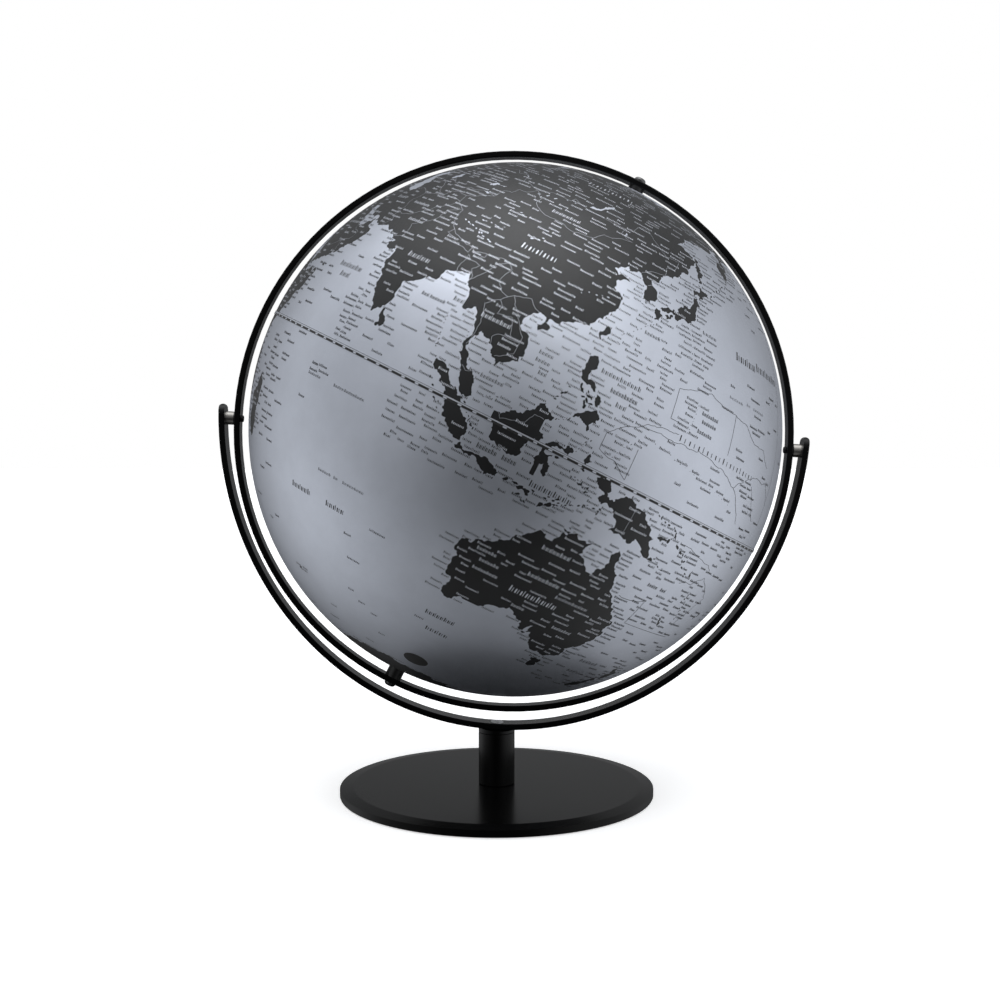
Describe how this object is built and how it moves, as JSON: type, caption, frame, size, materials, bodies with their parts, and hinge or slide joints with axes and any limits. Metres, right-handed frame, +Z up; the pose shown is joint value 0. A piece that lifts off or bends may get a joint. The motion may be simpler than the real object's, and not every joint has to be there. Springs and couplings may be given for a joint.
{
  "type": "desktop globe on stand",
  "caption": "Map globe that spins on a tilted axle in a round ring; the ring swings between pivots on a bent half-hoop arm, held by a short post on a flat round base.",
  "frame": {"origin": "centre of the base's underside, on the surface it stands on", "axes": "+Z up, -Y towards the viewer in front, +X to the viewer's right; the arm and the ring lie in the XZ plane"},
  "size_m": [0.3363, 0.3004, 0.3668],
  "materials": {
    "black_paint": "satin powder coat",
    "black_steel": "gloss black",
    "screw_steel": "brushed",
    "spacer_aluminium": "turned, satin",
    "black_plastic": "matt",
    "pad_rubber": "matt foam rubber",
    "printed_ball": "printed satin silver sea and charcoal land",
    "printed_tape": "printed satin silver with dark dashes",
    "hoop_plastic": "natural moulded"
  },
  "bodies": {
    "stand": {"base_plate": "black_paint", "base_pad": "pad_rubber", "base_screw": "screw_steel", "post": "black_paint", "arm_saddle": "black_plastic", "arm": "black_paint", "arm_screw": "screw_steel", "pivot_spacer_left": "spacer_aluminium", "pivot_spacer_right": "spacer_aluminium", "pivot_washer_left": "black_plastic", "pivot_washer_right": "black_plastic", "pivot_screw_left": "black_steel", "pivot_screw_right": "black_steel"},
    "ring": {"meridian_ring": "black_paint", "axle_rod": "screw_steel", "north_bush": "black_plastic", "south_bush": "black_plastic", "north_cap_nut": "black_steel", "south_cap_nut": "black_steel", "north_thrust_washer": "black_plastic", "south_thrust_washer": "black_plastic"},
    "globe": {"north_hemisphere": "printed_ball", "south_hemisphere": "printed_ball", "equator_joining_hoop": "hoop_plastic", "equator_tape": "printed_tape", "north_pole_bearing": "black_plastic", "south_pole_bearing": "black_plastic"}
  },
  "joints": [
    {"name": "ring_swing", "type": "hinge", "parent": "stand", "child": "ring", "pos_m": [0.00978, 0, 0.20732], "axis": [0.9983, 0, -0.0576], "continuous": true},
    {"name": "globe_spin", "type": "hinge", "parent": "ring", "child": "globe", "pos_m": [0.01045, 0, 0.20866], "axis": [0.4462, 0, 0.8949], "continuous": true}
  ]
}
